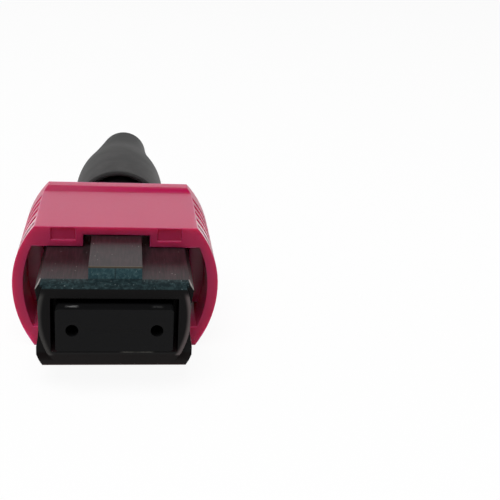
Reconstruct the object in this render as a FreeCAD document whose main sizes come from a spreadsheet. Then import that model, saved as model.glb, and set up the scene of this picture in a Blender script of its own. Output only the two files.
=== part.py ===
import FreeCAD, Part, Sketcher
import math
import os
import re

# Twelve-fibre push-on optical plug, as it ends a patch cable.
# Millimetres. The origin is the centre of the ferrule's end face: -Y points out of the plug towards
# its mate, +Y back along the fibres to the boot, +Z to the side with the key.
SIZES = {
    # ferrule
    "ferrule_width": 6.4,
    "ferrule_height": 2.5,
    "ferrule_nose": 6.0,
    "flange_width": 7.0,
    "flange_height": 3.0,
    "flange_length": 2.0,
    "nose_edge": 0.12,
    "guide_pitch": 4.6,
    "guide_radius": 0.35,
    "glue_window_width": 3.0,
    "glue_window_length": 1.6,
    "glue_window_front": 3.6,
    # fibres
    "fibre_count": 12,
    "fibre_pitch": 0.25,
    "glass_radius": 0.0625,
    "coating_radius": 0.12,
    "glass_play": 0.0025,
    "glass_length": 3.2,
    "fibre_bore_length": 3.0,
    "fibre_tail": 1.0,
    "fibre_sides": 12,
    # rubber boot in the back of the ferrule, and the ribbon's way through the plug
    "ribbon_slot_width": 3.2,
    "ribbon_slot_height": 0.36,
    "boot_wall": 0.3,
    "boot_wall_side": 0.12,
    "inner_boot_front": 5.4,
    "inner_boot_length": 5.2,
    # pin keeper, left empty in a plug without pins
    "keeper_width": 6.8,
    "keeper_height": 2.9,
    "keeper_length": 2.0,
    "keeper_floor": 0.5,
    # ferrule spring, oval
    "spring_length": 5.0,
    "spring_half_width": 2.95,
    "spring_half_height": 1.3,
    "spring_wire": 0.22,
    "spring_turns": 4,
    # plug frame
    "frame_front": 0.7,
    "frame_rear": 17.0,
    "frame_width": 8.65,
    "frame_rise": 2.45,
    "frame_fall": 2.68,
    "top_corner_run": 0.24,
    "top_corner_drop": 0.4,
    "low_corner_run": 0.3,
    "low_corner_rise": 0.75,
    "brow_run": 0.75,
    "brow_drop": 0.28,
    "cheek_step": 0.3,
    "cheek_half_width": 4.22,
    "cheek_radius": 5.0,
    "cheek_rise": 0.5,
    "chin_run": 0.5,
    "chin_rise": 1.0,
    "mouth_width": 7.0,
    "mouth_height": 3.2,
    "mouth_depth": 2.2,
    "nose_play": 0.1,
    "cavity_width": 7.4,
    "cavity_height": 3.4,
    "key_width": 2.95,
    "key_height": 0.74,
    "key_length": 10.5,
    "latch_notch_front": 7.2,
    "latch_notch_length": 1.2,
    "latch_notch_depth": 0.35,
    "latch_notch_tall": 2.2,
    "latch_channel_depth": 0.17,
    "latch_channel_top": 1.95,
    "latch_channel_low": 1.45,
    # the push piece that closes the frame and holds the cable
    "push_plate_length": 1.0,
    "push_plate_margin": 0.2,
    "push_play": 0.06,
    "arm_length": 2.0,
    "arm_thickness": 0.36,
    "arm_height": 1.8,
    "hook_length": 1.0,
    "hook_inset": 0.4,
    "hook_reach": 0.5,
    "neck_radius": 2.1,
    "neck_bore": 1.62,
    "neck_length": 6.2,
    "neck_groove_depth": 0.15,
    "neck_groove_length": 0.6,
    "neck_groove_pitch": 1.6,
    "neck_groove_count": 3,
    # coupling sleeve
    "sleeve_front": 6.5,
    "sleeve_rear": 15.0,
    "sleeve_half_width": 6.2,
    "sleeve_bow": 5.77,
    "sleeve_panel": 3.75,
    "sleeve_base": 4.0,
    "rim_height": 0.25,
    "rim_length": 0.8,
    "rim_ramp": 0.7,
    "sleeve_wall": 0.65,
    "sleeve_play": 0.05,
    "cavity_drop": 0.05,
    "key_slot_play": 0.5,
    "dimple_width": 1.45,
    "dimple_height": 0.75,
    "dimple_from_axis": 2.42,
    "dimple_edge": 0.1,
    "dimple_depth": 0.12,
    "grip_groove_depth": 0.2,
    "grip_groove_length": 0.5,
    "grip_groove_pitch": 1.05,
    "grip_groove_count": 7,
    "grip_groove_first": 0.45,
    "grip_top": 3.55,
    "grip_low": 2.6,
    # between sleeve and frame: two ribs of the sleeve, a block of the frame and the springs
    "rib_front": 9.2,
    "rib_length": 0.5,
    "rib_tall": 4.4,
    "ledge_length": 0.6,
    "block_tall": 1.2,
    "return_spring_length": 3.76,
    "return_spring_play": 0.08,
    "return_spring_wire": 0.1,
    "return_spring_turns": 4,
    "block_length": 0.8,
    "seat_gap": 0.2,
    "seating": 0.02,
    # crimp ring
    "crimp_front_gap": 0.4,
    "crimp_wall": 0.35,
    "crimp_yarn": 0.1,
    "crimp_length": 6.0,
    "crimp_cone": 1.2,
    "crimp_tail": 3.4,
    "cable_radius": 1.5,
    "crimp_bite": 0.1,
    # strain relief boot
    "boot_front_gap": 2.6,
    "boot_length": 17.7,
    "boot_front_radius": 3.23,
    "boot_mouth_wall": 0.28,
    "boot_mouth_depth": 1.0,
    "boot_belly_radius": 3.37,
    "boot_belly_from_front": 3.5,
    "boot_shoulder_from_front": 4.9,
    "boot_bend_radius": 3.03,
    "boot_bend_from_front": 8.85,
    "boot_hollow": 110,
    "boot_tail_radius": 1.93,
    "boot_lip": 0.2,
    "boot_play": 0.05,
    "boot_cable_play": 0.1,
}

doc = FreeCAD.newDocument("OpticalPlug")
sheet = doc.addObject("Spreadsheet::Sheet", "Sizes")
for row, (name, value) in enumerate(SIZES.items(), 1):
    sheet.set(f"A{row}", name)
    sheet.set(f"B{row}", str(value))
    sheet.setAlias(f"B{row}", name)
doc.recompute()

PLANES = {"X": "YZ_Plane", "Y": "XZ_Plane", "Z": "XY_Plane"}


def bound(text):
    # a size's plain name becomes a reference to its cell
    return re.sub(r"[a-z_]+", lambda word: f"Sizes.{word[0]}" if word[0] in SIZES else word[0], text)


def worth(text):
    return float(sheet.evalExpression(bound(text)))


def new_body(label):
    body = doc.addObject("PartDesign::Body", label)
    body.Label = label
    return body


def origin_feature(body, role):
    return next(feature for feature in body.Origin.OriginFeatures if feature.Role == role)


def arc_through(start, end, radius):
    # bulges to the right of the way from start to end, or to the left where the radius is negative
    chord = end - start
    size = abs(radius)
    sag = math.copysign(size - math.sqrt(size**2 - (chord.Length / 2) ** 2), radius)
    right = FreeCAD.Vector(chord.y, -chord.x, 0).normalize()
    return Part.Arc(start, (start + end) * 0.5 + right * sag, end)


def pin_point(sketch, geometry, end, across, up):
    for kind, text in (("DistanceX", across), ("DistanceY", up)):
        index = sketch.addConstraint(Sketcher.Constraint(kind, -1, 1, geometry, end, worth(text)))
        sketch.setExpression(f"Constraints[{index}]", bound(text))


def fix_radius(sketch, geometry, text):
    index = sketch.addConstraint(Sketcher.Constraint("Radius", geometry, worth(text)))
    sketch.setExpression(f"Constraints[{index}]", bound(text))


def draw_loop(sketch, loop):
    # corners run counter-clockwise; a third entry makes the edge that follows an arc of that radius,
    # convex where it is positive and hollow where it is negative
    spots = [FreeCAD.Vector(worth(corner[0]), worth(corner[1]), 0) for corner in loop]
    first = sketch.GeometryCount
    ends = []
    for index, corner in enumerate(loop):
        start, end = spots[index], spots[(index + 1) % len(loop)]
        edge = arc_through(start, end, worth(corner[2])) if len(corner) > 2 else Part.LineSegment(start, end)
        sketch.addGeometry(edge)
        hollow = len(corner) > 2 and worth(corner[2]) < 0
        ends.append((2, 1) if hollow else (1, 2))
    for index, corner in enumerate(loop):
        following = (index + 1) % len(loop)
        sketch.addConstraint(Sketcher.Constraint(
            "Coincident", first + index, ends[index][1], first + following, ends[following][0]))
        pin_point(sketch, first + index, ends[index][0], corner[0], corner[1])
        if len(corner) > 2:
            fix_radius(sketch, first + index, f"abs({corner[2]})")


def draw_circle(sketch, circle):
    across, up, radius = circle
    middle = FreeCAD.Vector(worth(across), worth(up), 0)
    geometry = sketch.addGeometry(Part.Circle(middle, FreeCAD.Vector(0, 0, 1), worth(radius)))
    pin_point(sketch, geometry, 3, across, up)
    fix_radius(sketch, geometry, radius)


def new_sketch(body, axis, start, loops=(), circles=()):
    sketch = body.newObject("Sketcher::SketchObject", "Outline")
    sketch.AttachmentSupport = [(origin_feature(body, PLANES[axis]), "")]
    sketch.MapMode = "FlatFace"
    sign = "-" if axis == "Y" else ""
    sketch.setExpression("AttachmentOffset.Base.z", bound(f"{sign}({start})"))
    for loop in loops:
        draw_loop(sketch, loop)
    for circle in circles:
        draw_circle(sketch, circle)
    return sketch


def pad(body, axis, start, length, *loops, circles=()):
    feature = body.newObject("PartDesign::Pad", "Pad")
    feature.Profile = new_sketch(body, axis, start, loops, circles)
    feature.setExpression("Length", bound(length))
    feature.Reversed = axis == "Y"
    doc.recompute()
    return feature


def pocket(body, axis, start, length, *loops, circles=()):
    feature = body.newObject("PartDesign::Pocket", "Pocket")
    feature.Profile = new_sketch(body, axis, start, loops, circles)
    feature.setExpression("Length", bound(length))
    feature.Reversed = axis != "Y"
    before = body.Shape.Volume
    doc.recompute()
    if body.Shape.Volume >= before:
        raise RuntimeError(f"{body.Label}: {feature.Name} cuts nothing")
    return feature


def revolve(body, kind, loop):
    # the loop is (radius, place along Y), turned about the plug's axis
    feature = body.newObject(f"PartDesign::{kind}", kind)
    sketch = new_sketch(body, "Z", "0", [loop])
    feature.Profile = sketch
    feature.ReferenceAxis = (sketch, ["V_Axis"])
    doc.recompute()
    return feature


def pattern(body, feature, axis, count, step):
    row = body.newObject("PartDesign::LinearPattern", "Row")
    row.Originals = [feature]
    row.Direction = (origin_feature(body, f"{axis}_Axis"), [""])
    row.setExpression("Length", bound(f"({count} - 1) * {step}"))
    row.setExpression("Occurrences", bound(count))
    body.Tip = row
    doc.recompute()
    return row


def box(left, right, low, high):
    return [(left, low), (right, low), (right, high), (left, high)]


def centred(width, height):
    return box(f"-({width}) / 2", f"({width}) / 2", f"-({height}) / 2", f"({height}) / 2")


def many_sided(radius):
    # a hair-thin round section, drawn with few sides
    turns = [f"360 * {side} / fibre_sides" for side in range(int(worth("fibre_sides")))]
    return [(f"{radius} * cos({turn})", f"{radius} * sin({turn})") for turn in turns]


def both_sides(loop):
    # a loop on +X and its mirror image on -X, each counter-clockwise
    mirrored = [(f"-({across})", up) for across, up in reversed(loop)]
    return loop, mirrored


def reach(half, bow, height):
    # half width of a bowed side at a height from its widest place
    return f"{half} - {bow} + sqrt({bow}^2 - ({height})^2)"


def bowed(half, top, low, bow="sleeve_bow", rise="0"):
    # flat above and below, with arcs at the sides that are widest at the rise above the axis
    low_reach, top_reach = reach(half, bow, f"{low} + {rise}"), reach(half, bow, f"{top} - {rise}")
    return [
        (f"-({low_reach})", f"-({low})"),
        (low_reach, f"-({low})", bow),
        (top_reach, top),
        (f"-({top_reach})", top, bow),
    ]


def side_webs(inner, half, high):
    # on each side, from a flat inner edge out to a bowed wall, as high above the axis as below it
    edge = reach(half, "sleeve_bow", high)
    right = [(inner, f"-{high}"), (edge, f"-{high}", "sleeve_bow"), (edge, high), (inner, high)]
    left = [(f"-({edge})", f"-{high}"), (f"-{inner}", f"-{high}"), (f"-{inner}", high),
            (f"-({edge})", high, "sleeve_bow")]
    return right, left


def side_bands(half, low, top):
    # on each side, all that lies outside a bowed wall between two heights
    far = "2 * sleeve_half_width"
    low_edge, top_edge = reach(half, "sleeve_bow", low), reach(half, "sleeve_bow", top)
    right = [(low_edge, f"-{low}"), (far, f"-{low}"), (far, top), (top_edge, top, "-sleeve_bow")]
    left = [(f"-{far}", f"-{low}"), (f"-({low_edge})", f"-{low}", "-sleeve_bow"),
            (f"-({top_edge})", top), (f"-{far}", top)]
    return right, left


def side_channels(side, low, top, depth):
    # in each of two flat walls, a hollow that is a segment of a circle
    arc = f"(({top} + {low})^2 / 4 + {depth}^2) / (2 * {depth})"
    clear = f"({side} + {depth})"
    right = [(side, f"-{low}"), (clear, f"-{low}"), (clear, top), (side, top, arc)]
    left = [(f"-{clear}", f"-{low}"), (f"-{side}", f"-{low}", arc), (f"-{side}", top), (f"-{clear}", top)]
    return right, left


def outside(loop):
    # the loop as an island in a frame that is larger than any section of the plug
    far = "2 * sleeve_half_width"
    return box(f"-{far}", far, f"-{far}", far), loop


# Places that several pieces share
ferrule_rear = "(ferrule_nose + flange_length)"
keeper_rear = f"({ferrule_rear} + keeper_length)"
push_front = f"({keeper_rear} + spring_length + 2 * seating)"
plate_front = "frame_rear"
neck_front = f"({plate_front} + push_plate_length)"
neck_rear = f"({neck_front} + neck_length)"
frame_top = "frame_rise"
frame_low = "frame_fall"
frame_side = "(frame_width / 2)"
cavity_side = "(cavity_width / 2)"
rib_rear = "(rib_front + rib_length)"
block_front = f"({rib_rear} + return_spring_length + 2 * seating)"
block_rear = f"({block_front} + block_length)"
gap_inner = f"({frame_side} + seat_gap)"
gap_outer = "(sleeve_half_width - sleeve_wall - seat_gap)"
gap_middle = f"(({gap_inner} + {gap_outer}) / 2)"
return_spring_outside = f"(({gap_outer} - {gap_inner}) / 2 + seat_gap - return_spring_play)"
return_spring_radius = f"({return_spring_outside} - return_spring_wire)"
hook_front = f"({push_front} + hook_inset)"
inner_boot_rear = "(inner_boot_front + inner_boot_length)"
inner_boot_width = "(ribbon_slot_width + 2 * boot_wall_side)"
inner_boot_height = "(ribbon_slot_height + 2 * boot_wall)"
boot_front = f"({neck_front} + boot_front_gap)"
boot_rear = f"({boot_front} + boot_length)"
crimp_front = f"({neck_front} + crimp_front_gap)"
crimp_inside = "(neck_radius + crimp_yarn)"
crimp_outside = f"({crimp_inside} + crimp_wall)"
crimp_cone_front = f"({crimp_front} + crimp_length)"
crimp_tail_front = f"({crimp_cone_front} + crimp_cone)"
crimp_rear = f"({crimp_tail_front} + crimp_tail)"
crimp_tail_inside = "(cable_radius - crimp_bite)"
crimp_tail_outside = f"({crimp_tail_inside} + crimp_wall)"


def make_ferrule():
    body = new_body("ferrule")
    wide, tall, edge = "(ferrule_width / 2)", "(ferrule_height / 2)", "nose_edge"
    nose = [
        (f"-{wide} + {edge}", f"-{tall}"), (f"{wide} - {edge}", f"-{tall}"),
        (wide, f"-{tall} + {edge}"), (wide, f"{tall} - {edge}"),
        (f"{wide} - {edge}", tall), (f"-{wide} + {edge}", tall),
        (f"-{wide}", f"{tall} - {edge}"), (f"-{wide}", f"-{tall} + {edge}"),
    ]
    pad(body, "Y", "0", "ferrule_nose", nose)
    pad(body, "Y", "ferrule_nose", "flange_length", centred("flange_width", "flange_height"))
    holes = [("guide_pitch / 2", "0", "guide_radius"), ("-guide_pitch / 2", "0", "guide_radius")]
    pocket(body, "Y", "0", ferrule_rear, circles=holes)
    slot = centred(f"{inner_boot_width} + 2 * nose_play", f"{inner_boot_height} + 2 * nose_play")
    pocket(body, "Y", "fibre_bore_length", f"{ferrule_rear} - fibre_bore_length", slot)
    window = box("-glue_window_width / 2", "glue_window_width / 2",
                 "glue_window_front", "glue_window_front + glue_window_length")
    pocket(body, "Z", "0", tall, window)
    first = "-(fibre_count - 1) / 2 * fibre_pitch"
    bore = pocket(body, "Y", "0", "fibre_bore_length", circles=[(first, "0", "glass_radius + glass_play")])
    pattern(body, bore, "X", "fibre_count", "fibre_pitch")
    return body


def make_fibre(number):
    body = new_body(f"fibre_{number:02d}")
    pad(body, "Y", "0", "glass_length", many_sided("glass_radius"))
    pad(body, "Y", "glass_length", f"{neck_rear} - fibre_tail - glass_length", many_sided("coating_radius"))
    body.setExpression("Placement.Base.x", bound(f"({number - 1} - (fibre_count - 1) / 2) * fibre_pitch"))
    return body


def make_ferrule_boot():
    body = new_body("ferrule_boot")
    rim = centred(inner_boot_width, inner_boot_height)
    slot = centred("ribbon_slot_width", "ribbon_slot_height")
    pad(body, "Y", "inner_boot_front", "inner_boot_length", rim, slot)
    return body


def make_pin_keeper():
    body = new_body("pin_keeper")
    side, top = "(keeper_width / 2)", "(keeper_height / 2)"
    way = f"({inner_boot_width} / 2 + nose_play)"
    floor = f"-{top} + keeper_floor"
    cradle = [
        (f"-{side}", f"-{top}"), (side, f"-{top}"), (side, top), (way, top),
        (way, floor), (f"-{way}", floor), (f"-{way}", top), (f"-{side}", top),
    ]
    pad(body, "Y", ferrule_rear, "keeper_length", cradle)
    holes = [("guide_pitch / 2", "0", "guide_radius"), ("-guide_pitch / 2", "0", "guide_radius")]
    pocket(body, "Y", ferrule_rear, "keeper_length", circles=holes)
    return body


def oval_coil(front, length, half_width, half_height, wire, turns):
    # one strand wound on an oval, in short straight steps with a six-sided section
    steps_per_turn, section_sides = 12, 6
    first, last = front + wire, front + length - wire
    rings = []
    for step in range(turns * steps_per_turn + 1):
        turn = 2 * math.pi * step / steps_per_turn
        middle = FreeCAD.Vector(
            half_width * math.cos(turn),
            first + (last - first) * step / (turns * steps_per_turn),
            half_height * math.sin(turn),
        )
        outward = FreeCAD.Vector(half_height * math.cos(turn), 0, half_width * math.sin(turn)).normalize()
        corners = []
        for side in range(section_sides):
            angle = 2 * math.pi * side / section_sides
            corners.append(middle + outward * wire * math.cos(angle)
                           + FreeCAD.Vector(0, wire * math.sin(angle), 0))
        rings.append(Part.makePolygon(corners + corners[:1]))
    return Part.makeLoft(rings, True, True)


def make_ferrule_spring():
    feature = doc.addObject("Part::Feature", "ferrule_spring")
    feature.Label = "ferrule_spring"
    feature.Shape = oval_coil(
        worth(f"{keeper_rear} + seating"), worth("spring_length"), worth("spring_half_width"),
        worth("spring_half_height"), worth("spring_wire"), int(worth("spring_turns")),
    )
    return feature


def make_return_spring(label, side):
    feature = doc.addObject("Part::Feature", label)
    feature.Label = label
    feature.Shape = oval_coil(
        worth(f"{rib_rear} + seating"), worth("return_spring_length"), worth(return_spring_radius),
        worth(return_spring_radius), worth("return_spring_wire"), int(worth("return_spring_turns")),
    )
    feature.Placement.Base.x = side * worth(gap_middle)
    return feature


def make_plug_frame():
    body = new_body("plug_frame")
    side, top, low = frame_side, frame_top, frame_low
    shell = [
        (f"-{side} + low_corner_run", f"-{low}"), (f"{side} - low_corner_run", f"-{low}"),
        (side, f"-{low} + low_corner_rise"), (side, f"{top} - top_corner_drop"),
        (f"{side} - top_corner_run", top), (f"-{side} + top_corner_run", top),
        (f"-{side}", f"{top} - top_corner_drop"), (f"-{side}", f"-{low} + low_corner_rise"),
    ]
    pad(body, "Y", "frame_front", "frame_rear - frame_front", shell)
    # the brow over the mouth and the chin under it lean back
    brow = [
        ("frame_front", f"{top} - brow_drop"), ("frame_front + brow_run", top), ("frame_front", top),
    ]
    pocket(body, "X", f"-{side}", "frame_width", brow)
    chin = [
        ("frame_front", f"-{low}"), ("frame_front + chin_run", f"-{low}"),
        ("frame_front", f"-{low} + chin_rise"),
    ]
    pocket(body, "X", f"-{side}", "frame_width", chin)
    # the cheeks beside the mouth are bounded by arcs, and the corners outside them stand back
    cheeks = bowed("cheek_half_width", top, low, "cheek_radius", "cheek_rise")
    pocket(body, "Y", "frame_front", "cheek_step", *outside(cheeks))
    key_front = "(frame_front + brow_run)"
    lug = box("-key_width / 2", "key_width / 2", f"{top} - brow_drop", f"{top} + key_height")
    pad(body, "Y", key_front, "key_length", lug)
    pocket(body, "Y", "frame_front", "mouth_depth", centred("mouth_width", "mouth_height"))
    opening = centred("ferrule_width + 2 * nose_play", "ferrule_height + 2 * nose_play")
    pocket(body, "Y", "frame_front + mouth_depth", "ferrule_nose - frame_front - mouth_depth", opening)
    pocket(body, "Y", "ferrule_nose", "frame_rear - ferrule_nose", centred("cavity_width", "cavity_height"))
    # each side has a channel that leads a mating latch to its notch, a block that seats a spring and
    # stops the sleeve, and a window for the push piece's hook
    channels = side_channels(side, "latch_channel_low", "latch_channel_top", "latch_channel_depth")
    pocket(body, "Y", "frame_front", "latch_notch_front - frame_front", *channels)
    notch = box(f"{side} - latch_notch_depth", f"{side} + push_play",
                "latch_notch_front", "latch_notch_front + latch_notch_length")
    pocket(body, "Z", "-latch_notch_tall / 2", "latch_notch_tall", *both_sides(notch))
    block = box(side, gap_outer, block_front, block_rear)
    pad(body, "Z", "-block_tall / 2", "block_tall", *both_sides(block))
    catch = box(f"{cavity_side} - push_play", f"{side} + push_play", f"{hook_front} - push_play",
                f"{hook_front} + hook_length + push_play")
    pocket(body, "Z", "-arm_height / 2 - push_play", "arm_height + 2 * push_play", *both_sides(catch))
    return body


def make_spring_push():
    body = new_body("spring_push")
    block = centred("cavity_width - 2 * push_play", "cavity_height - 2 * push_play")
    pad(body, "Y", push_front, f"{plate_front} - {push_front}", block)
    plate_side = f"({frame_side} - push_plate_margin)"
    plate = box(f"-{plate_side}", plate_side, f"-{frame_low} + push_plate_margin",
                f"{frame_top} - push_plate_margin")
    pad(body, "Y", plate_front, "push_plate_length", plate)
    neck = [("0", neck_front), ("neck_radius", neck_front), ("neck_radius", neck_rear), ("0", neck_rear)]
    revolve(body, "Revolution", neck)
    groove = [
        ("neck_radius - neck_groove_depth", f"{neck_front} + neck_groove_pitch"),
        ("neck_radius + neck_groove_depth", f"{neck_front} + neck_groove_pitch"),
        ("neck_radius + neck_groove_depth", f"{neck_front} + neck_groove_pitch + neck_groove_length"),
        ("neck_radius - neck_groove_depth", f"{neck_front} + neck_groove_pitch + neck_groove_length"),
    ]
    ring = revolve(body, "Groove", groove)
    pattern(body, ring, "Y", "neck_groove_count", "neck_groove_pitch")
    pocket(body, "Y", push_front, f"{neck_rear} - {push_front}", circles=[("0", "0", "neck_bore")])
    arm_outer = f"({cavity_side} - push_play)"
    arm = box(f"{arm_outer} - arm_thickness", arm_outer, f"{push_front} - arm_length", push_front)
    hook = box(arm_outer, f"{arm_outer} + hook_reach", hook_front, f"{hook_front} + hook_length")
    pad(body, "Z", "-arm_height / 2", "arm_height", *both_sides(arm))
    pad(body, "Z", "-arm_height / 2", "arm_height", *both_sides(hook))
    return body


def make_coupling_sleeve():
    body = new_body("coupling_sleeve")
    length = "(sleeve_rear - sleeve_front)"
    pad(body, "Y", "sleeve_front", length, bowed("sleeve_half_width", "sleeve_panel", "sleeve_base"))
    rim_top = "(sleeve_panel + rim_height)"
    rim_front = "(sleeve_rear - rim_length - rim_ramp)"
    rim = bowed("sleeve_half_width", rim_top, "sleeve_base")
    pad(body, "Y", rim_front, "rim_ramp + rim_length", rim)
    ramp = [(rim_front, "sleeve_panel"), (f"{rim_front} + rim_ramp", rim_top), (rim_front, rim_top)]
    pocket(body, "X", "-sleeve_half_width", "2 * sleeve_half_width", ramp)
    # finger grip: shallow grooves down both bowed sides
    kept = "(sleeve_half_width - grip_groove_depth)"
    grip = side_bands(kept, "grip_low", "grip_top")
    groove = pocket(body, "Y", "sleeve_front + grip_groove_first", "grip_groove_length", *grip)
    pattern(body, groove, "Y", "grip_groove_count", "grip_groove_pitch")
    room_top = f"({frame_top} + sleeve_play)"
    room_low = f"({frame_low} + cavity_drop)"
    pocket(body, "Y", "sleeve_front", length, bowed("sleeve_half_width - sleeve_wall", room_top, room_low))
    slot = box("-key_width / 2 - key_slot_play", "key_width / 2 + key_slot_play",
               "0", f"{frame_top} + key_height + sleeve_play")
    pocket(body, "Y", "sleeve_front", length, slot)
    dimple_top = "(sleeve_panel - dimple_edge)"
    dimple = box("dimple_from_axis", "dimple_from_axis + dimple_width",
                 f"{dimple_top} - dimple_height", dimple_top)
    pocket(body, "Y", "sleeve_front", "dimple_depth", *both_sides(dimple))
    # a rib that the spring pushes and, behind the frame's block, a ledge that ends the way forward
    wall_middle = "(sleeve_half_width - sleeve_wall / 2)"
    pad(body, "Y", "rib_front", "rib_length", *side_webs(gap_inner, wall_middle, "(rib_tall / 2)"))
    ledge = side_webs(gap_inner, wall_middle, "(block_tall / 2)")
    pad(body, "Y", f"{block_rear} + seating", "ledge_length", *ledge)
    return body


def make_crimp_ring():
    body = new_body("crimp_ring")
    wall = [
        (crimp_inside, crimp_front), (crimp_outside, crimp_front), (crimp_outside, crimp_cone_front),
        (crimp_tail_outside, crimp_tail_front), (crimp_tail_outside, crimp_rear),
        (crimp_tail_inside, crimp_rear), (crimp_tail_inside, crimp_tail_front),
        (crimp_inside, crimp_cone_front),
    ]
    revolve(body, "Revolution", wall)
    return body


def make_strain_relief_boot():
    body = new_body("strain_relief_boot")
    belly = f"{boot_front} + boot_belly_from_front"
    shoulder = f"{boot_front} + boot_shoulder_from_front"
    bend = f"{boot_front} + boot_bend_from_front"
    # the belly bends over into the taper, which is a little hollow
    bend_run = "(boot_bend_from_front - boot_shoulder_from_front)"
    bend_drop = "(boot_belly_radius - boot_bend_radius)"
    bend_arc = f"({bend_run}^2 + {bend_drop}^2) / (2 * {bend_drop})"
    wall = [
        ("boot_front_radius - boot_mouth_wall", boot_front),
        ("boot_front_radius", boot_front),
        ("boot_belly_radius", belly),
        ("boot_belly_radius", shoulder, bend_arc),
        ("boot_bend_radius", bend, "-boot_hollow"),
        ("boot_tail_radius", f"{boot_rear} - boot_lip"),
        ("boot_tail_radius - boot_lip", boot_rear),
        ("cable_radius + boot_cable_play", boot_rear),
        ("cable_radius + boot_cable_play", f"{crimp_rear} + boot_play"),
        (f"{crimp_tail_outside} + boot_play", f"{crimp_rear} + boot_play"),
        (f"{crimp_tail_outside} + boot_play", f"{crimp_tail_front} + boot_play"),
        (f"{crimp_outside} + boot_play", f"{crimp_cone_front} + boot_play"),
        (f"{crimp_outside} + boot_play", f"{boot_front} + boot_mouth_depth"),
    ]
    revolve(body, "Revolution", wall)
    return body


pieces = [make_ferrule()]
pieces += [make_fibre(number) for number in range(1, int(worth("fibre_count")) + 1)]
pieces += [
    make_ferrule_boot(),
    make_pin_keeper(),
    make_ferrule_spring(),
    make_plug_frame(),
    make_spring_push(),
    make_return_spring("sleeve_spring_left", -1),
    make_return_spring("sleeve_spring_right", 1),
    make_coupling_sleeve(),
    make_crimp_ring(),
    make_strain_relief_boot(),
]
doc.recompute()

for item in doc.Objects:
    if {"Invalid", "Error"} & set(item.State):
        raise RuntimeError(f"{item.Label} did not build: {item.State}")
for piece in pieces:
    if piece.Shape.isNull() or not piece.Shape.isValid() or len(piece.Shape.Solids) != 1:
        raise RuntimeError(f"{piece.Label} is not one sound solid")

os.makedirs("parts", exist_ok=True)
for piece in pieces:
    piece.Shape.exportStep(f"parts/{piece.Label}.step")
    print(f"{piece.Label}: {piece.Shape.Volume:.3f} mm3")
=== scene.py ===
import math

import bmesh
import bpy
from mathutils import Matrix, Vector


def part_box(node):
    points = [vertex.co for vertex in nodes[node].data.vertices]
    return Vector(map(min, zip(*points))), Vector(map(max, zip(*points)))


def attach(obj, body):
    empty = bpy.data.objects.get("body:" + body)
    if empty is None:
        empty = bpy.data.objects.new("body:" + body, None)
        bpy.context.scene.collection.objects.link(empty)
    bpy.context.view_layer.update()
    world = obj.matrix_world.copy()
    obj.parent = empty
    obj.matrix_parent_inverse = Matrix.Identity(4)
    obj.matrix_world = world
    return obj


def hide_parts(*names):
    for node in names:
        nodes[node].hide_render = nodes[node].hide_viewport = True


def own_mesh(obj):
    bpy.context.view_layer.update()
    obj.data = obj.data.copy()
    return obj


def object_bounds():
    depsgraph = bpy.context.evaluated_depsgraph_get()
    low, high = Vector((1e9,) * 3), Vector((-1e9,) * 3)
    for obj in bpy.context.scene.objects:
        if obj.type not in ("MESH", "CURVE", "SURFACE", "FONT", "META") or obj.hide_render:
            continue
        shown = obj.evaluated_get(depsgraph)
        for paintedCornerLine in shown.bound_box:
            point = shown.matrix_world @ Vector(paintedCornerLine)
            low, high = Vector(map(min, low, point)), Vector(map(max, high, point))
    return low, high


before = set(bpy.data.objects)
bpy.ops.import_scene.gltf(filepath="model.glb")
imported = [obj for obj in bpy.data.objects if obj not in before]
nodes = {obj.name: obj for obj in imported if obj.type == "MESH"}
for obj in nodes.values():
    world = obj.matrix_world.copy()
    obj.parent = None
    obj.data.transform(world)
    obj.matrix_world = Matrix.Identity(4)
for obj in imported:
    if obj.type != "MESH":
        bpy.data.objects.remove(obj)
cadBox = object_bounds()
mm = 0.001
print("frame loaded:", len(nodes), "nodes")


class Wire:
    # one socket of a material's nodes: arithmetic on it adds Math nodes

    def __init__(self, tree, socket):
        self.tree = tree
        self.socket = socket

    def make(self, kind, settings=None, inputs=None, out=0):
        node = self.tree.nodes.new(kind)
        for name, value in (settings or {}).items():
            setattr(node, name, value)
        for name, value in (inputs or {}).items():
            if isinstance(value, Wire):
                self.tree.links.new(value.socket, node.inputs[name])
            else:
                node.inputs[name].default_value = value
        return Wire(self.tree, node.outputs[out])

    def calc(self, operation, *others):
        return self.make("ShaderNodeMath", {"operation": operation}, dict(enumerate((self, *others))))

    def __add__(self, other):
        return self.calc("ADD", other)

    __radd__ = __add__

    def __sub__(self, other):
        return self.calc("SUBTRACT", other)

    def __rsub__(self, other):
        return self.make("ShaderNodeMath", {"operation": "SUBTRACT"}, {0: other, 1: self})

    def __mul__(self, other):
        return self.calc("MULTIPLY", other)

    __rmul__ = __mul__

    def __lt__(self, other):
        return self.calc("LESS_THAN", other)

    def __abs__(self):
        return self.calc("ABSOLUTE")

    def ramp(self, low, high):
        # 0 below low, 1 above high, smooth between them
        return self.make("ShaderNodeMapRange", {"interpolation_type": "SMOOTHSTEP"},
                         {"Value": self, "From Min": low, "From Max": high})

    def fall(self, low, high):
        # 1 below low, 0 above high
        return 1 - self.ramp(low, high)

    def inside(self, low, high, soft):
        # 1 between low and high, with soft ends inside them
        return self.ramp(low, low + soft) * self.fall(high - soft, high)

    def blend(self, first, second):
        # mixes two colours, each a triple or a wire, by this wire
        def full(colour):
            return colour if isinstance(colour, Wire) else (*colour, 1)
        return self.make("ShaderNodeMix", {"data_type": "RGBA"},
                         {"Factor": self, 6: full(first), 7: full(second)}, out=2)


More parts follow.
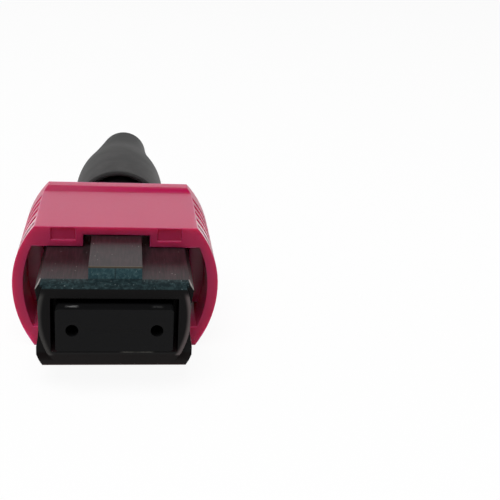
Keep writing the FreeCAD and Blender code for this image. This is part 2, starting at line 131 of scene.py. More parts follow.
def newFinish(name, roughness=0.5, specular=0.5, **fixed):
    finish = bpy.data.materials.new(name)
    finish.use_nodes = True
    tree = finish.node_tree
    shader = tree.nodes["Principled BSDF"]
    shader.inputs["Roughness"].default_value = roughness
    shader.inputs["Specular IOR Level"].default_value = specular
    for socket, value in fixed.items():
        shader.inputs[socket.replace("_", " ")].default_value = value
    start = Wire(tree, shader.outputs[0])
    place = start.make("ShaderNodeTexCoord", out="Object")
    inMm = start.make("ShaderNodeVectorMath", {"operation": "SCALE"}, {0: place, "Scale": 1 / mm})
    return finish, shader, inMm


def feed(shader, socket, wire):
    wire.tree.links.new(wire.socket, shader.inputs[socket])


def grain(place, scale, detail=3, roughness=0.5, stretch=None):
    if stretch:
        place = place.make("ShaderNodeVectorMath", {"operation": "MULTIPLY"}, {0: place, 1: stretch})
    return place.make("ShaderNodeTexNoise", None,
                      {"Vector": place, "Scale": scale, "Detail": detail, "Roughness": roughness})


def varied(base, noise, spread):
    # swings about its base with a noise, whose mean is a half
    return base + (noise - 0.5) * spread


def bumpInto(shader, height, strength, distance):
    bump = height.make("ShaderNodeBump", None,
                       {"Height": height, "Strength": strength, "Distance": distance * mm})
    feed(shader, "Normal", bump)


def split(place):
    node = place.make("ShaderNodeSeparateXYZ", None, {0: place}).socket.node
    return [Wire(place.tree, out) for out in node.outputs]


sleeveLook = {
    "colour": (0.465, 0.03, 0.103), "deep": (0.425, 0.026, 0.091),
    # the upper panel's paler colour is a painted sheen, and the step's colour is painted darker to take off
    # the sheen the step catches
    "paintedPanelSheen": (0.466, 0.062, 0.131), "step": (0.42, 0.006, 0.074),
    "roughness": 0.31, "roughSpread": 0.16, "specular": 0.13,
    "glow": (1.0, 0.35, 0.5), "glowShare": 0.8, "glowDepth": 1.3,
    "sheen": 1.0, "sheenRoughness": 0.16,
    # grains: scale and detail
    "cloud": (0.35, 4), "cloudRun": (0.3, 0.7), "fine": (14, 2), "coarse": (3.0, 2), "coarseHeight": 0.6,
    "bump": (0.25, 0.012),
    # millimetres: the upper panel's height, the step at its rear, and the polished part of the sides
    "panelRun": (3.69, 3.73), "stepRun": (13.5, 14.2), "stepSoft": 0.06,
    "sideRun": (4.6, 4.95), "frontRun": (6.5, 6.56), "sheenRun": (7.2, 10.5),
}


def sleevePlastic():
    look = sleeveLook
    finish, shader, place = newFinish(
        "magenta_moulded_plastic", look["roughness"], look["specular"], Coat_Roughness=look["sheenRoughness"],
        Subsurface_Weight=look["glowShare"], Subsurface_Radius=look["glow"],
        Subsurface_Scale=look["glowDepth"] * mm)
    across, along, up = split(place)
    fine = grain(place, *look["fine"])
    surface = grain(place, *look["cloud"]).ramp(*look["cloudRun"]).blend(look["deep"], look["colour"])
    # the upper panel is painted paler, a painted sheen; the step at its rear is painted darker and deeper,
    # taking off the sheen it catches
    onTop = up.ramp(*look["panelRun"])
    surface = onTop.blend(surface, look["paintedPanelSheen"])
    inStep = along.inside(*look["stepRun"], look["stepSoft"])
    feed(shader, "Base Color", (onTop * inStep).blend(surface, look["step"]))
    feed(shader, "Roughness", varied(look["roughness"], fine, look["roughSpread"]))
    # the sides are polished near the front
    sides = abs(across).ramp(*look["sideRun"]) * along.ramp(*look["frontRun"])
    feed(shader, "Coat Weight", sides * along.fall(*look["sheenRun"]) * look["sheen"])
    bumpInto(shader, fine + grain(place, *look["coarse"]) * look["coarseHeight"], *look["bump"])
    return finish


frameLook = {
    # the dust colour is reddish, partly a painted reflection of the magenta sleeve
    "colour": (0.0068, 0.0064, 0.0066), "dustAndRedSheen": (0.03, 0.016, 0.019), "speck": (0.3, 0.27, 0.26),
    "brow": (0.0075, 0.0155, 0.018), "browLight": (0.026, 0.047, 0.051),
    "keyFront": (0.023, 0.055, 0.066), "keyLight": (0.06, 0.115, 0.124), "glitter": (0.2, 0.25, 0.25),
    # the worn colour here is a painted highlight on the key's upper front edge, and the pale one a painted
    # highlight on the upper front corners
    "worn": (0.075, 0.06, 0.044), "cornerHighlight": (0.3, 0.285, 0.27), "chin": (0.0035, 0.0016, 0.0016),
    # the cheek colours are painted highlights, lighter on the right, and the chin colour above is painted
    # shade
    "cheekHighlightLeft": (0.05, 0.048, 0.046), "cheekHighlightRight": (0.105, 0.085, 0.085),
    "lipLine": (0.11, 0.106, 0.096), "lowEdgeRed": (0.035, 0.012, 0.01),
    "roughness": 0.34, "roughSpread": 0.2, "browRough": 0.3, "specular": 0.055,
    "topGloss": 0.22, "glossRoughness": 0.24,
    # grains: scale, detail and roughness
    "fine": (22, 2), "cloud": (1.2, 3), "drawn": (5, 2), "drawnStretch": (2.2, 0.12, 1),
    "mottle": (4.2, 5, 0.75), "mottleRun": (0.42, 0.68), "points": (9, 2, 0.6), "pointRun": (0.66, 0.73),
    "pointShare": 0.6, "seamShare": 0.5,
    "bump": (0.3, 0.012), "fineHeight": 0.5, "mottleHeight": 2.0, "drawnHeight": 1.2,
    # dust on what faces up, tinted red as a painted reflection of the sleeve: an even film, clouds, drawn
    # lines and specks
    "facingUp": (0.95, 0.99), "filmShare": 0.3, "cloudShare": 0.25, "cloudRun": (0.3, 0.75),
    "drawnShare": 0.6, "drawnRun": (0.4, 0.65), "speckScale": 2.2, "speckSize": 0.055,
    # millimetres: the front face, the brow, the key's front with its seam, and the key's upper edge with its
    # painted highlight
    "frontRun": (0.76, 0.82), "browLow": (2.12, 2.17), "browBack": (1.45, 1.5), "browSide": (4.0, 4.1),
    "keyLow": (2.45, 2.5), "seamRun": (0.02, 0.07), "edgeLow": (3.07, 3.12), "edgeBack": (1.5, 1.57),
    # the upper front corners, where a pale line is a painted highlight
    "cornerSide": 4.085, "cornerTop": 2.45, "cornerFall": (0.857, 0.514), "cornerOut": (-0.06, -0.02),
    "cornerFront": 1.0, "cornerLow": 2.05, "cornerSlope": 1.125, "cornerBack": (0.03, 0.07),
    "cornerRise": (1.99, 2.05),
    # the cheeks with their painted highlights, the chin's painted shade, the mouth's lower lip and the
    # reddish lowest edge
    "cheekMiddle": (-0.78, 0.5), "cheekRadius": 5.0, "cheekWidth": (0.08, 0.3), "cheekTop": (1.6, 2.0),
    "cheekTurn": (-1, 1), "chinTop": (-1.85, -1.7), "chinBack": (1.3, 1.6),
    "mouthLow": -1.6, "lipWidth": (0.03, 0.07), "lipRun": (0.2, 2.3), "lipSoft": 0.4,
    "lipPatches": (0.3, 0.5), "lowEdgeRedTop": (-2.63, -2.55),
}


def framePlastic():
    look = frameLook
    finish, shader, place = newFinish("black_frame_plastic", look["roughness"], look["specular"],
                                      Coat_Roughness=look["glossRoughness"])
    across, along, up = split(place)
    aside = abs(across)
    fine = grain(place, *look["fine"])
    cloud = grain(place, *look["cloud"])
    drawn = grain(place, *look["drawn"], stretch=look["drawnStretch"])
    upward = split(place.make("ShaderNodeNewGeometry", out="Normal"))[2]
    atFront = along.fall(*look["frontRun"])

    # handling dust lies on what faces up, in faint lines along the plug, with a few brighter specks; its
    # reddish tint is a painted reflection of the magenta sleeve
    top = upward.ramp(*look["facingUp"])
    clouds = cloud.ramp(*look["cloudRun"]) * look["cloudShare"]
    lines = drawn.ramp(*look["drawnRun"]) * look["drawnShare"]
    film = (top * (look["filmShare"] + clouds + lines)).blend(look["colour"], look["dustAndRedSheen"])
    specks = place.make("ShaderNodeTexVoronoi", None, {"Vector": place, "Scale": look["speckScale"]},
                        out="Distance")
    surface = (top * (specks < look["speckSize"])).blend(film, look["speck"])

    # the sloped brow and the key's front are coarse and teal, with glittering points and a seam in the key
    brow = up.ramp(*look["browLow"]) * along.fall(*look["browBack"]) * aside.fall(*look["browSide"])
    keyFront = up.ramp(*look["keyLow"])
    mottle = grain(place, *look["mottle"])
    dark = keyFront.blend(look["brow"], look["keyFront"])
    light = keyFront.blend(look["browLight"], look["keyLight"])
    teal = mottle.ramp(*look["mottleRun"]).blend(dark, light)
    points = grain(place, *look["points"]).ramp(*look["pointRun"])
    teal = (points * look["pointShare"]).blend(teal, look["glitter"])
    seam = keyFront * aside.fall(*look["seamRun"]) * look["seamShare"]
    surface = brow.blend(surface, seam.blend(teal, look["colour"]))

    # painted highlights on edges: the key's upper front edge and the upper front corners
    keyEdgeHighlight = up.ramp(*look["edgeLow"]) * along.fall(*look["edgeBack"])
    surface = keyEdgeHighlight.blend(surface, look["worn"])
    sideFall, topFall = look["cornerFall"]
    outward = (aside - look["cornerSide"]) * sideFall + (up - look["cornerTop"]) * topFall
    behind = along - look["cornerFront"] - (up - look["cornerLow"]) * look["cornerSlope"]
    paintedCornerLine = outward.ramp(*look["cornerOut"]) * behind.fall(*look["cornerBack"])
    surface = (paintedCornerLine * up.ramp(*look["cornerRise"])).blend(surface, look["cornerHighlight"])

    # painted shade on the chin, painted highlights along the cheeks' curved edges, the mouth's lower lip and
    # a reddish band along the lowest edge
    chin = up.fall(*look["chinTop"]) * along.fall(*look["chinBack"])
    surface = chin.blend(surface, look["chin"])
    sideways = aside - look["cheekMiddle"][0]
    upwards = up - look["cheekMiddle"][1]
    ring = (sideways * sideways + upwards * upwards).calc("SQRT") - look["cheekRadius"]
    cheek = abs(ring).fall(*look["cheekWidth"]) * atFront * up.fall(*look["cheekTop"])
    cheekHighlight = across.ramp(*look["cheekTurn"]).blend(look["cheekHighlightLeft"], look["cheekHighlightRight"])
    surface = cheek.blend(surface, cheekHighlight)
    lip = abs(up - look["mouthLow"]).fall(*look["lipWidth"]) * atFront
    lip = lip * across.inside(*look["lipRun"], look["lipSoft"]) * cloud.ramp(*look["lipPatches"])
    surface = lip.blend(surface, look["lipLine"])
    surface = up.fall(*look["lowEdgeRedTop"]).blend(surface, look["lowEdgeRed"])

    feed(shader, "Base Color", surface)
    feed(shader, "Coat Weight", top * look["topGloss"])
    feed(shader, "Roughness", varied(look["roughness"], fine, look["roughSpread"]) + brow * look["browRough"])
    height = fine * look["fineHeight"] + brow * mottle * look["mottleHeight"]
    bumpInto(shader, height + top * drawn * look["drawnHeight"], *look["bump"])
    return finish


ferruleLook = {
    # the scuff colour is a painted glint on the upper face's front strip
    "colour": (0.005, 0.005, 0.0052), "fleck": (0.008, 0.008, 0.009), "glint": (0.15, 0.15, 0.15),
    "roughness": 0.36, "roughSpread": 0.2, "specular": 0.08, "bump": (0.12, 0.006), "lineHeight": 0.5,
    "flecks": (26, 3, 0.6), "fleckRun": (0.45, 0.7), "lines": (9, 2), "lineStretch": (0.15, 1, 2.5),
    "patches": (7, 3), "patchRun": (0.35, 0.55),
    # millimetres: the strip behind the upper face's front edge, then each painted glint's left, right and
    # share
    "stripLow": (1.23, 1.25), "stripFront": (0.25, 0.4), "stripBack": (0.45, 0.65), "glintSoft": 0.2,
    "glints": ((-2.72, -1.9, 0.9), (1.95, 2.7, 0.2)),
}


def ferrulePlastic():
    look = ferruleLook
    finish, shader, place = newFinish("glass_filled_black", look["roughness"], look["specular"])
    across, along, up = split(place)
    flecks = grain(place, *look["flecks"])
    surface = flecks.ramp(*look["fleckRun"]).blend(look["colour"], look["fleck"])
    strip = up.ramp(*look["stripLow"]) * along.ramp(*look["stripFront"]) * along.fall(*look["stripBack"])
    patches = grain(place, *look["patches"]).ramp(*look["patchRun"])
    # pale patches on the top's front strip are painted glints
    for left, right, share in look["glints"]:
        here = across.inside(left, right, look["glintSoft"])
        surface = (strip * here * patches * share).blend(surface, look["glint"])
    feed(shader, "Base Color", surface)
    lines = grain(place, *look["lines"], stretch=look["lineStretch"])
    feed(shader, "Roughness", varied(look["roughness"], lines, look["roughSpread"]))
    bumpInto(shader, flecks + lines * look["lineHeight"], *look["bump"])
    return finish


bootLook = {
    "colour": (0.043, 0.0425, 0.0425), "worn": (0.072, 0.07, 0.07),
    # the tail colour is painted shade, darkening the boot towards its end
    "tail": (0.016, 0.016, 0.016), "tailShadeRun": (25, 34), "tailShadeShare": 0.8,
    "roughness": 0.7, "roughSpread": 0.25, "specular": 0.04, "bloom": 0.125, "bloomRoughness": 0.4,
    "cloud": (0.45, 5, 0.6), "cloudRun": (0.35, 0.7), "cloudShare": 0.7, "cloudHeight": 1.5,
    "fine": (11, 3), "fineShare": 0.3, "bump": (0.3, 0.02),
}


def bootRubber():
    look = bootLook
    finish, shader, place = newFinish("grey_boot_rubber", look["roughness"], look["specular"],
                                      Sheen_Weight=look["bloom"], Sheen_Roughness=look["bloomRoughness"])
    cloud = grain(place, *look["cloud"])
    fine = grain(place, *look["fine"])
    wear = cloud.ramp(*look["cloudRun"]) * look["cloudShare"] + fine * look["fineShare"]
    body = wear.blend(look["colour"], look["worn"])
    # painted shade: the tail grows darker towards its end
    tail = split(place)[1].ramp(*look["tailShadeRun"]) * look["tailShadeShare"]
    feed(shader, "Base Color", tail.blend(body, look["tail"]))
    feed(shader, "Roughness", varied(look["roughness"], fine, look["roughSpread"]))
    bumpInto(shader, fine + cloud * look["cloudHeight"], *look["bump"])
    return finish


innerLooks = {
    "ferrule_boot": {"name": "inner_rubber", "roughness": 0.7,
                     "colour": (0.025, 0.025, 0.025), "worn": (0.04, 0.04, 0.04)},
    "pin_keeper": {"name": "keeper_plastic", "roughness": 0.45,
                   "colour": (0.02, 0.02, 0.022), "worn": (0.035, 0.035, 0.036)},
    "spring_push": {"name": "push_piece_plastic", "roughness": 0.45,
                    "colour": (0.012, 0.012, 0.013), "worn": (0.025, 0.025, 0.025)},
}
innerGrain = {"fine": (16, 3), "fineRun": (0.35, 0.7), "roughSpread": 0.2, "bump": (0.2, 0.01)}


def plainPlastic(look):
    finish, shader, place = newFinish(look["name"], look["roughness"])
    fine = grain(place, *innerGrain["fine"])
    feed(shader, "Base Color", fine.ramp(*innerGrain["fineRun"]).blend(look["colour"], look["worn"]))
    feed(shader, "Roughness", varied(look["roughness"], fine, innerGrain["roughSpread"]))
    bumpInto(shader, fine, *innerGrain["bump"])
    return finish


ringLook = {"name": "black_anodised_ring", "roughness": 0.4, "stretch": (1, 0.1, 1),
            "colour": (0.03, 0.03, 0.033), "worn": (0.06, 0.06, 0.062)}
wireLook = {"name": "drawn_spring_wire", "roughness": 0.28, "stretch": (1, 3, 1),
            "colour": (0.5, 0.5, 0.51), "worn": (0.62, 0.62, 0.62)}
metalGrain = {"lines": (12, 3), "lineRun": (0.3, 0.75), "roughSpread": 0.25, "bump": (0.15, 0.006)}


def metal(look):
    finish, shader, place = newFinish(look["name"], look["roughness"], Metallic=1.0)
    lines = grain(place, *metalGrain["lines"], stretch=look["stretch"])
    feed(shader, "Base Color", lines.ramp(*metalGrain["lineRun"]).blend(look["colour"], look["worn"]))
    feed(shader, "Roughness", varied(look["roughness"], lines, metalGrain["roughSpread"]))
    bumpInto(shader, lines, *metalGrain["bump"])
    return finish


fibreLook = {
    "glass": (0.006, 0.006, 0.006), "roughness": 0.36, "specular": 0.08,
    # behind this place, in millimetres, the glass is coated
    "coatRun": (3.18, 3.22), "coatGloss": 0.1, "tint": (5, 2), "tintRun": (0.3, 0.7), "tintShade": 0.8,
    "colours": {
        "blue": (0.02, 0.1, 0.5), "orange": (0.8, 0.25, 0.02), "green": (0.02, 0.33, 0.07),
        "brown": (0.2, 0.09, 0.04), "slate": (0.3, 0.33, 0.36), "white": (0.8, 0.8, 0.78),
        "red": (0.6, 0.03, 0.03), "black": (0.02, 0.02, 0.02), "yellow": (0.8, 0.65, 0.05),
        "violet": (0.25, 0.05, 0.38), "rose": (0.8, 0.33, 0.43), "aqua": (0.08, 0.55, 0.55),
    },
}


def fibreCoat(name, colour):
    # bare glass in the ferrule's bore, coloured coating behind it
    look = fibreLook
    finish, shader, place = newFinish(name, look["roughness"], look["specular"])
    coated = split(place)[1].ramp(*look["coatRun"])
    shaded = [look["tintShade"] * part for part in colour]
    tint = grain(place, *look["tint"]).ramp(*look["tintRun"]).blend(colour, shaded)
    feed(shader, "Base Color", coated.blend(look["glass"], tint))
    feed(shader, "Roughness", look["roughness"] - coated * look["coatGloss"])
    return finish


finishes = {
    "coupling_sleeve": sleevePlastic(),
    "plug_frame": framePlastic(),
    "ferrule": ferrulePlastic(),
    "strain_relief_boot": bootRubber(),
    "crimp_ring": metal(ringLook),
}
for node, look in innerLooks.items():
    finishes[node] = plainPlastic(look)
for number, (word, colour) in enumerate(fibreLook["colours"].items(), 1):
    finishes[f"fibre_{number:02d}"] = fibreCoat(f"fibre_{word}", colour)
springSteel = metal(wireLook)
for node, finish in finishes.items():
    nodes[node].data.materials.clear()
    nodes[node].data.materials.append(finish)
print("finishes made:", len(bpy.data.materials))


def plainMesh(made, name):
    # turns an object with live modifiers into one with a plain mesh
    graph = bpy.context.evaluated_depsgraph_get()
    flat = bpy.data.meshes.new_from_object(made.evaluated_get(graph))
    made.modifiers.clear()
    made.data = flat
    flat.name = name
    return made


def newPiece(name, mesh):
    piece = bpy.data.objects.new(name, mesh)
    bpy.context.collection.objects.link(piece)
    return piece


# millimetres: the bowed sides of the sleeve, its row of grooves, and how far each piece's edges are rounded
sleeveSides = {"half": 6.2, "wall": 0.65, "bow": 5.77, "lowBow": 7.0, "front": 6.5, "rear": 15.0,
               "near": 0.01, "slack": 0.05}
sleeveGrip = {
    # the solid's row
    "middle": 10.35, "pitch": 1.05, "depth": 0.2, "top": 3.55,
    # the photo's row: fewer grooves, further apart, deeper, up to the panel's edge and fading to the front
    "newMiddle": 9.92, "newPitch": 1.35, "newDepth": 0.3, "newTop": 3.68, "eachWay": 2, "fade": 0.43,
    # where the solid's first groove is filled
    "filledAt": 6.65, "filledShare": 0.2,
}
softEdges = {
    "coupling_sleeve": {"radius": 0.03, "clamp": False, "body": "sleeve", "slot": "sleeve_magenta"},
    "plug_frame": {"radius": 0.05, "clamp": True, "body": "housing", "slot": "frame_black"},
    "ferrule": {"radius": 0.03, "clamp": True, "body": "ferrule_set", "slot": "ferrule_black"},
    "spring_push": {"radius": 0.05, "clamp": True, "body": "housing", "slot": "push_black"},
    "crimp_ring": {"radius": 0.05, "clamp": True, "body": "housing", "slot": "crimp_metal"},
    "pin_keeper": {"radius": 0.05, "clamp": True, "body": "ferrule_set", "slot": "keeper_plastic"},
    "ferrule_boot": {"radius": 0.05, "clamp": True, "body": "ferrule_set", "slot": "inner_rubber"},
}
# angles in degrees
mouldedEdges = {"steps": 2, "mergeWithin": 0.001, "flatWithin": 0.5, "crispFrom": 15, "roundFrom": 32,
                "flatWeight": 90}


def sideAt(up, bow):
    # how far out a bowed side of the sleeve lies at a height
    return sleeveSides["half"] - bow + math.sqrt(bow**2 - up**2)


def onSide(spot, depth=0):
    return sideAt(spot.z, sleeveSides["bow"]) - abs(spot.x) < depth + sleeveSides["near"]


def mergeDoubles(shape):
    bmesh.ops.remove_doubles(shape, verts=shape.verts, dist=mouldedEdges["mergeWithin"])


def evenSides(shape):
    # slivers that cut across the bow have their edges turned
    def bowed(face):
        spots = [vert.co for vert in face.verts]
        oneSide = abs(sum(math.copysign(1, spot.x) for spot in spots)) == len(spots)
        lengthwise = len({round(spot.y, 2) for spot in spots}) > 1
        return oneSide and lengthwise and all(onSide(spot) for spot in spots)

    faces = {face for face in shape.faces if bowed(face)}
    edges = [edge for edge in shape.edges if faces.issuperset(edge.link_faces)]
    bmesh.ops.beautify_fill(shape, faces=list(faces), edges=edges, method="ANGLE")


def bolderGrip(shape):
    look, sides = sleeveGrip, sleeveSides
    near = sides["near"]
    for spot in (vert.co for vert in shape.verts):
        inRow = sides["front"] + near < spot.y < sides["rear"] - near and spot.z < look["top"] + near
        if not (inRow and onSide(spot, look["depth"])):
            continue
        number = round((spot.y - look["middle"]) / look["pitch"])
        kept = abs(number) <= look["eachWay"]
        deep = kept and not onSide(spot, look["depth"] / 2)
        if kept:
            spot.y = look["newMiddle"] + (spot.y - look["middle"]) * look["newPitch"] / look["pitch"]
            if spot.z > look["top"] - near:
                spot.z = look["newTop"]
        elif number < 0:
            first = look["middle"] + number * look["pitch"]
            spot.y = look["filledAt"] + (spot.y - first) * look["filledShare"]
        depth = look["newDepth"] * (1 + look["fade"] * min(number, 0)) if deep else 0
        spot.x = math.copysign(sideAt(spot.z, sides["bow"]) - depth, spot.x)
    mergeDoubles(shape)


def fullerBelow(shape):
    # the sleeve's sides bow less below their widest place than above it
    look = sleeveSides
    for spot in (vert.co for vert in shape.verts if vert.co.z < 0):
        bowed = sideAt(spot.z, look["bow"])
        if abs(spot.x) > bowed - look["wall"] - look["slack"]:
            spot.x += math.copysign(sideAt(spot.z, look["lowBow"]) - bowed, spot.x)


def softened(node, look):
    # the CAD solid again, with moulded edges
    crispFrom = math.radians(mouldedEdges["crispFrom"])
    roundFrom = math.radians(mouldedEdges["roundFrom"])
    flatWithin = math.radians(mouldedEdges["flatWithin"])
    shape = bmesh.new()
    shape.from_mesh(nodes[node].data)
    shape.transform(Matrix.Scale(1 / mm, 4))
    mergeDoubles(shape)
    if node == "coupling_sleeve":
        evenSides(shape)
    bmesh.ops.dissolve_limit(shape, angle_limit=flatWithin, verts=shape.verts, edges=shape.edges)
    if node == "coupling_sleeve":
        bolderGrip(shape)
        fullerBelow(shape)
    for edge in shape.edges:
        edge.smooth = not crispFrom < edge.calc_face_angle(0) < roundFrom  # a shallow edge stays crisp
    mesh = bpy.data.meshes.new(node + "_moulded")
    shape.to_mesh(mesh)
    shape.free()
    mesh.materials.append(finishes[node])
    piece = newPiece(node + "_moulded", mesh)
    edge = piece.modifiers.new("edge", "BEVEL")
    edge.width = look["radius"]
    edge.segments = mouldedEdges["steps"]
    edge.limit_method = "ANGLE"
    edge.angle_limit = roundFrom
    edge.use_clamp_overlap = look["clamp"]
    flat = piece.modifiers.new("flat", "WEIGHTED_NORMAL")  # broad faces stay flat to their edges
    flat.weight = mouldedEdges["flatWeight"]
    flat.keep_sharp = True
    mesh.shade_smooth()
    plainMesh(piece, mesh.name)
    piece.data.transform(Matrix.Scale(mm, 4))
    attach(piece, look["body"])
    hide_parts(node)
    return piece


moulded = {node: softened(node, look) for node, look in softEdges.items()}
print("moulded pieces:", {node: len(piece.data.polygons) for node, piece in moulded.items()})


bootShape = {
    "frontRadius": 3.23, "belly": 3.37, "bellyAt": 3.5, "shoulderAt": 4.9, "bend": 3.03, "bendAt": 8.85,
    "hollow": 110.0, "tail": 1.93, "frontEdge": 0.08, "tailEdge": 0.2,
    "lean": 0.28, "leanFrom": 26.0, "leanPower": 3,
    # the inside from the tail forwards: radius and place along the plug
    "inside": ((1.6, 29.05), (1.8, 29.05), (1.8, 25.65), (2.6, 24.45), (2.6, 21.6)), "mouth": 3.03,
    "around": 96, "rings": 60, "edgeSteps": 5, "sharpFrom": 35,
}


def bootRadius(run, length):
    # outer radius at a distance from the boot's front
    shape = bootShape
    if run < shape["bellyAt"]:
        swell = 1 - (1 - run / shape["bellyAt"]) ** 2
        return shape["frontRadius"] + (shape["belly"] - shape["frontRadius"]) * swell
    if run < shape["bendAt"]:
        reach = shape["bendAt"] - shape["shoulderAt"]
        drop = shape["belly"] - shape["bend"]
        arc = (reach**2 + drop**2) / (2 * drop)
        done = max(run - shape["shoulderAt"], 0)
        return shape["belly"] - arc + math.sqrt(arc**2 - done**2)
    chord = length - shape["tailEdge"] - shape["bendAt"]
    share = (run - shape["bendAt"]) / chord
    sag = share * (1 - share) * chord**2 / (2 * shape["hollow"])
    return shape["bend"] + (shape["tail"] - shape["bend"]) * share - sag


def bootProfile(front, rear):
    shape = bootShape
    length = rear - front
    turns = [math.pi / 2 * step / shape["edgeSteps"] for step in range(shape["edgeSteps"] + 1)]
    first = shape["frontEdge"]
    tailEdge = shape["tailEdge"]
    last = length - tailEdge
    line = [(bootRadius(first, length) - first * (1 - math.sin(turn)), front + first * (1 - math.cos(turn)))
            for turn in turns]
    for ring in range(1, shape["rings"]):
        run = first + (last - first) * ring / shape["rings"]
        line.append((bootRadius(run, length), front + run))
    line += [(shape["tail"] - tailEdge * (1 - math.cos(turn)), rear - tailEdge * (1 - math.sin(turn)))
             for turn in turns]
    return [(shape["mouth"], front)] + line + [(shape["inside"][0][0], rear)] + list(shape["inside"])


def mouldedBoot():
    low, high = (Vector(paintedCornerLine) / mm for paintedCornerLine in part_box("strain_relief_boot"))
    shape = bmesh.new()
    rings = []
    for radius, along in bootProfile(low.y, high.y):
        bend = max(along - bootShape["leanFrom"], 0) / (high.y - bootShape["leanFrom"])
        aside = bootShape["lean"] * bend ** bootShape["leanPower"]
        ring = []
        for step in range(bootShape["around"]):
            turn = 2 * math.pi * step / bootShape["around"]
            spot = (radius * math.cos(turn) + aside, along, radius * math.sin(turn))
            ring.append(shape.verts.new(Vector(spot) * mm))
        rings.append(ring)
    for ring, following in zip(rings, rings[1:] + rings[:1]):
        for step in range(bootShape["around"]):
            after = (step + 1) % bootShape["around"]
            shape.faces.new((ring[step], ring[after], following[after], following[step]))
    bmesh.ops.recalc_face_normals(shape, faces=shape.faces)
    mesh = bpy.data.meshes.new("strain_relief_boot_moulded")
    shape.to_mesh(mesh)
    shape.free()
    mesh.shade_smooth()
    mesh.set_sharp_from_angle(angle=math.radians(bootShape["sharpFrom"]))
    mesh.materials.append(finishes["strain_relief_boot"])
    piece = newPiece(mesh.name, mesh)
    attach(piece, "housing")
    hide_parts("strain_relief_boot")
    return piece


boot = mouldedBoot()
print("boot moulded:", len(boot.data.polygons), "faces")


springSets = {
    "ferrule_spring": {"joint": "ferrule_float", "turns": 4, "wire": 0.22, "travel": 1.0},
    "sleeve_spring_left": {"joint": "sleeve_slide", "turns": 4, "wire": 0.1, "travel": 2.2},
    "sleeve_spring_right": {"joint": "sleeve_slide", "turns": 4, "wire": 0.1, "travel": 2.2},
}
coilSteps = {"perTurn": 40, "aroundWire": 12}


def coilTree():
    tree = bpy.data.node_groups.new("woundCoil", "GeometryNodeTree")
    face = tree.interface
    for label, kind in (("Turns", "Float"), ("Length", "Float"), ("Wire", "Float"),
                        ("Half Width", "Float"), ("Half Height", "Float"), ("Middle", "Vector")):
        face.new_socket(label, in_out="INPUT", socket_type=f"NodeSocket{kind}")
    face.new_socket("Geometry", in_out="OUTPUT", socket_type="NodeSocketGeometry")
    link = tree.links.new

    def add(kind, **inputs):
        node = tree.nodes.new(kind)
        for label, value in inputs.items():
            socket = node.inputs[label.replace("_", " ")]
            if isinstance(value, bpy.types.NodeSocket):
                link(value, socket)
            else:
                socket.default_value = value
        return node.outputs[0]

    given = tree.nodes.new("NodeGroupInput").outputs
    strand = add("GeometryNodeCurveSpiral", Resolution=coilSteps["perTurn"], Rotations=given["Turns"],
                 Start_Radius=1.0, End_Radius=1.0, Height=given["Length"])
    oval = add("ShaderNodeCombineXYZ", X=given["Half Width"], Y=given["Half Height"], Z=1.0)
    shaped = add("GeometryNodeTransform", Geometry=strand, Scale=oval)
    turned = add("GeometryNodeTransform", Geometry=shaped, Rotation=(-math.pi / 2, 0, 0))
    placed = add("GeometryNodeTransform", Geometry=turned, Translation=given["Middle"])
    section = add("GeometryNodeCurvePrimitiveCircle", Resolution=coilSteps["aroundWire"],
                  Radius=given["Wire"])
    swept = add("GeometryNodeCurveToMesh", Curve=placed, Profile_Curve=section, Fill_Caps=True)
    smooth = add("GeometryNodeSetShadeSmooth", Geometry=swept)
    real = add("GeometryNodeRealizeInstances", Geometry=smooth)
    dressed = add("GeometryNodeSetMaterial", Geometry=real, Material=springSteel)
    link(dressed, tree.nodes.new("NodeGroupOutput").inputs[0])
    return tree


def woundSpring(node, look, tree):
    low, high = (Vector(paintedCornerLine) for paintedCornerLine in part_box(node))
    wire = look["wire"] * mm
    rest = high.y - low.y
    values = {
        "Turns": float(look["turns"]), "Length": rest - 2 * wire, "Wire": wire,
        "Half Width": (high.x - low.x) / 2 - wire, "Half Height": (high.z - low.z) / 2 - wire,
        "Middle": Vector(((low.x + high.x) / 2, low.y + wire, (low.z + high.z) / 2)),
    }
    piece = newPiece(node + "_wound", bpy.data.meshes.new(node))
    winding = piece.modifiers.new("winding", "NODES")
    winding.node_group = tree
    for item in tree.interface.items_tree:
        if item.in_out == "INPUT":
            winding[item.identifier] = values[item.name]
    plainMesh(piece, node + "_wound")
    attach(piece, "housing")
    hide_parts(node)
    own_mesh(piece)
    return piece


coils = coilTree()
springs = [woundSpring(node, look, coils) for node, look in springSets.items()]
print("springs wound:", [len(piece.data.polygons) for piece in springs])


# millimetres and degrees, apart from the far clip in metres
photoView = {"place": (0.517, -49.07, 22.841), "yaw": 7.728, "pitch": -20.019, "roll": 3.379, "lens": 70.545,
             "nearClip": 1, "farClip": 10}
floorLook = {"colour": (0.9, 0.9, 0.9), "size": 3000.0, "roughness": 0.9, "specular": 0.0, "glow": 0.93}
skyLook = {"back": 1.0, "dim": 0.2, "backRun": (-0.3, 0.4), "overheadRun": (0.42, 0.55)}
frontBox = {"place": (-45, -90, 270), "aim": (0, 12, 0), "size": 240, "power": 0.8}


def makeCamera():
    view = bpy.data.cameras.new("photoView")
    view.lens = photoView["lens"]
    view.clip_start = photoView["nearClip"] * mm
    view.clip_end = photoView["farClip"]
    camera = newPiece("photoView", view)
    turn = Matrix.Rotation(math.radians(-photoView["yaw"]), 4, "Z")
    tip = Matrix.Rotation(math.radians(90 + photoView["pitch"]), 4, "X")
    roll = Matrix.Rotation(math.radians(photoView["roll"]), 4, "Z")
    camera.matrix_world = Matrix.Translation(Vector(photoView["place"]) * mm) @ turn @ tip @ roll
    bpy.context.scene.camera = camera


def seenAs(wire):
    # 1 for what the camera sees straight, mirrored or through glass, 0 for what only lights the plug
    rays = [wire.make("ShaderNodeLightPath", out=f"Is {ray} Ray")
            for ray in ("Camera", "Glossy", "Transmission")]
    return rays[0].calc("MAXIMUM", rays[1]).calc("MAXIMUM", rays[2])


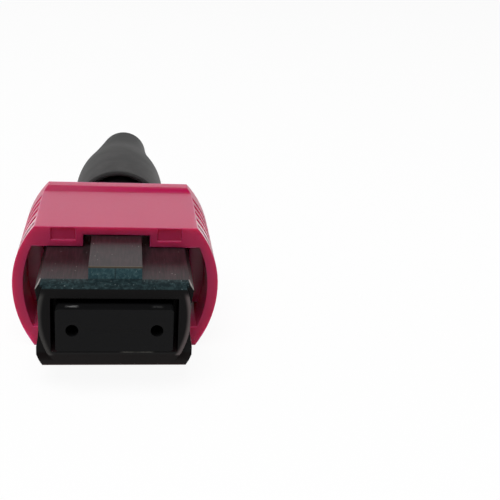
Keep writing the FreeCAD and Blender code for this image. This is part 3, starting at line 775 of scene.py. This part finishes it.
def makeFloor():
    half = floorLook["size"] * mm / 2
    height = cadBox[0][2]
    mesh = bpy.data.meshes.new("floor")
    corners = [(-half, -half), (half, -half), (half, half), (-half, half)]
    mesh.from_pydata([(x, y, height) for x, y in corners], [], [(0, 1, 2, 3)])
    floor = newPiece("floor", mesh)
    finish, shader, place = newFinish("pale_floor", floorLook["roughness"], floorLook["specular"])
    shader.inputs["Base Color"].default_value = (*floorLook["colour"], 1)
    plain = Wire(finish.node_tree, shader.outputs[0])
    glow = place.make("ShaderNodeEmission", None, {"Color": (1, 1, 1, 1), "Strength": 1.0})
    mixed = place.make("ShaderNodeMixShader", None, {0: seenAs(place) * floorLook["glow"], 1: plain, 2: glow})
    feed(finish.node_tree.nodes["Material Output"], "Surface", mixed)
    mesh.materials.append(finish)


def makeSky():
    world = bpy.data.worlds.new("studioSky")
    bpy.context.scene.world = world
    world.use_nodes = True
    tree = world.node_tree
    ground = tree.nodes["Background"]
    ground.inputs["Color"].default_value = (1, 1, 1, 1)
    start = Wire(tree, ground.outputs[0])
    heading = split(start.make("ShaderNodeTexCoord", out="Generated"))
    overhead = heading[2].ramp(*skyLook["overheadRun"])
    # a white backdrop behind the plug, a dim room elsewhere, and a ceiling that glossy faces don't mirror
    backdrop = heading[1].ramp(*skyLook["backRun"]) * (1 - overhead)
    light = skyLook["dim"] + backdrop * (skyLook["back"] - skyLook["dim"])
    ceiling = start.make("ShaderNodeLightPath", out="Is Glossy Ray") * overhead
    feed(ground, "Strength", light.calc("MAXIMUM", seenAs(start) - ceiling))


def softbox(name, look):
    light = bpy.data.lights.new(name, "AREA")
    light.shape = "DISK"
    light.size = look["size"] * mm
    light.energy = look["power"]
    lamp = newPiece(name, light)
    spot = Vector(look["place"]) * mm
    aim = Vector(look["aim"]) * mm - spot
    lamp.matrix_world = Matrix.Translation(spot) @ aim.to_track_quat("-Z", "Y").to_matrix().to_4x4()


makeCamera()
makeFloor()
makeSky()
softbox("frontBox", frontBox)
bpy.context.scene.view_settings.view_transform = "Standard"
print("studio set")
